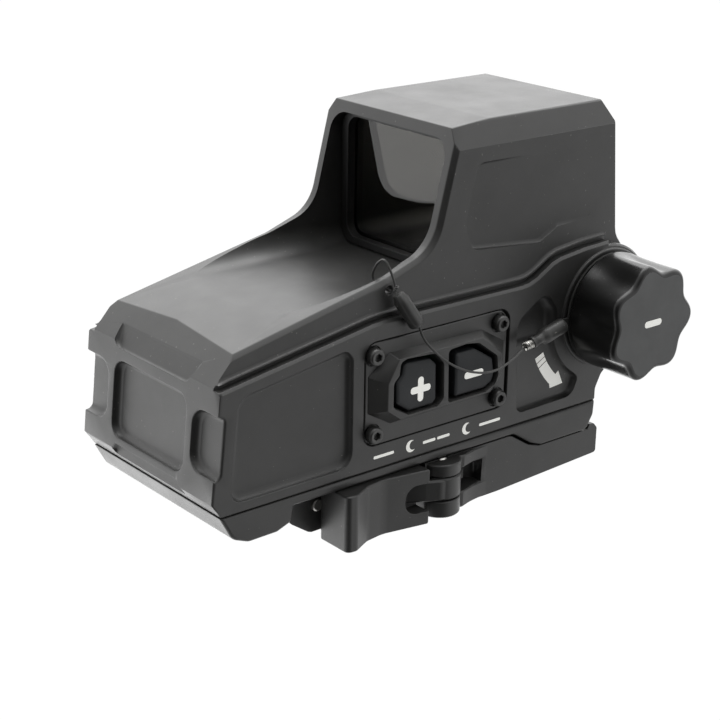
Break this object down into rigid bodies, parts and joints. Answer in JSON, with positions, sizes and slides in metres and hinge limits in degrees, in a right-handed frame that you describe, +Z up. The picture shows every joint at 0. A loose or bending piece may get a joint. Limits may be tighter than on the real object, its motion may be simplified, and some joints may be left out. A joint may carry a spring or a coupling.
{
  "type": "red dot sight",
  "caption": "Enclosed red dot sight with a tall viewing hood, low sloping deck, side keypad, transverse battery tube and lever-locked rail mount",
  "frame": {"origin": "centre of the rail seat, the flat face of the mount that rests on a rail's top", "axes": "+X along the rail from the low deck towards the hood, +Z up, -Y the keypad, lever and battery cap side"},
  "size_m": [0.1176, 0.0601, 0.0808],
  "materials": {
    "anodised_housing": "bead-blasted black anodising",
    "anodised_mount": "bead-blasted black anodising",
    "anodised_cap": "turned and anodised, satin",
    "black_screws": "black oxide",
    "coated_wire": "dark coated stranded wire",
    "heat_shrink": "shrunk polyolefin tube",
    "bright_steel": "plain",
    "button_rubber": "matt silicone rubber",
    "seal_rubber": "matt",
    "coated_glass": "anti-reflection coated, neutral tint",
    "black_polymer": "moulded",
    "circuit_board": "solder mask",
    "contact_brass": "plain",
    "cell_wrap": "plain wrap, no print",
    "white_paint": null
  },
  "bodies": {
    "housing": {"upper_housing": "anodised_housing", "bottom_cover": "anodised_housing", "keypad_plate": "anodised_housing", "mount_base": "anodised_mount", "keypad_screw_1": "black_screws", "keypad_screw_2": "black_screws", "keypad_screw_3": "black_screws", "keypad_screw_4": "black_screws", "cover_screw_1": "black_screws", "cover_screw_2": "black_screws", "cover_screw_3": "black_screws", "cover_screw_4": "black_screws", "mount_screw_1": "black_screws", "mount_screw_2": "black_screws", "mount_screw_3": "black_screws", "mount_screw_4": "black_screws", "lanyard_loop": "coated_wire", "lanyard_wire": "coated_wire", "lanyard_sleeve_rear": "heat_shrink", "lever_pin": "bright_steel", "jaw_guide_1": "bright_steel", "jaw_guide_2": "bright_steel", "board_screw_1": "bright_steel", "board_screw_2": "bright_steel", "contact_spring": "bright_steel", "keypad_gasket": "seal_rubber", "housing_gasket": "seal_rubber", "window_bezel": "seal_rubber", "rear_window": "coated_glass", "front_lens": "coated_glass", "window_retainer": "black_polymer", "lens_spacer": "black_polymer", "emitter_cradle": "black_polymer", "tact_switch_1": "black_polymer", "tact_switch_2": "black_polymer", "keypad_board": "circuit_board", "main_board": "circuit_board", "contact_plate": "contact_brass", "battery_cell": "cell_wrap"},
    "tether_ring": {"lanyard_ring": "coated_wire", "lanyard_sleeve_front": "heat_shrink"},
    "cap": {"battery_cap": "anodised_cap", "cap_oring": "seal_rubber", "cap_contact": "contact_brass"},
    "plus_key": {"plus_button": "button_rubber"},
    "minus_key": {"minus_button": "button_rubber"},
    "lever": {"qd_lever": "anodised_mount"},
    "jaw": {"clamp_jaw": "anodised_mount"},
    "windage_screw": {"windage_adjuster": "black_screws"},
    "elevation_screw": {"elevation_adjuster": "black_screws"},
    "windage_stage": {"windage_carriage": "contact_brass"},
    "elevation_stage": {"elevation_carriage": "contact_brass", "emitter_module": "black_polymer"}
  },
  "joints": [
    {"name": "tether_slide", "type": "slide", "parent": "housing", "child": "tether_ring", "axis": [0, -1, 0], "range_m": [0, 0.003]},
    {"name": "cap_turn", "type": "hinge", "parent": "tether_ring", "child": "cap", "pos_m": [0.0411, -0.024, 0.0296], "axis": [0, -1, 0], "range_deg": [0, 1080]},
    {"name": "plus_press", "type": "slide", "parent": "housing", "child": "plus_key", "axis": [0, 1, 0], "range_m": [0, 0.0006], "stiffness_N_per_m": 2500},
    {"name": "minus_press", "type": "slide", "parent": "housing", "child": "minus_key", "axis": [0, 1, 0], "range_m": [0, 0.0006], "stiffness_N_per_m": 2500},
    {"name": "lever_swing", "type": "hinge", "parent": "housing", "child": "lever", "pos_m": [-0.0045, -0.0215, 0], "axis": [0, 0, 1], "range_deg": [0, 100]},
    {"name": "jaw_slide", "type": "slide", "parent": "housing", "child": "jaw", "axis": [0, -1, 0], "range_m": [0, 0.002]},
    {"name": "windage_turn", "type": "hinge", "parent": "housing", "child": "windage_screw", "pos_m": [0.0065, 0.023, 0.0314], "axis": [0, 1, 0], "range_deg": [-720, 720]},
    {"name": "windage_shift", "type": "slide", "parent": "housing", "child": "windage_stage", "axis": [0, -1, 0], "range_m": [-0.0006, 0.0006]},
    {"name": "elevation_turn", "type": "hinge", "parent": "housing", "child": "elevation_screw", "pos_m": [0.0165, 0.023, 0.0314], "axis": [0, 1, 0], "range_deg": [-720, 720]},
    {"name": "elevation_shift", "type": "slide", "parent": "windage_stage", "child": "elevation_stage", "axis": [0, 0, 1], "range_m": [-0.0006, 0.0006]}
  ],
  "couplings": [
    {"joint": "tether_slide", "follows": "cap_turn", "m_per_rad": 0.000159},
    {"joint": "jaw_slide", "follows": "lever_swing", "m_per_rad": 0.0011458},
    {"joint": "windage_shift", "follows": "windage_turn", "m_per_rad": 0.0000477},
    {"joint": "elevation_shift", "follows": "elevation_turn", "m_per_rad": 0.0000477}
  ]
}
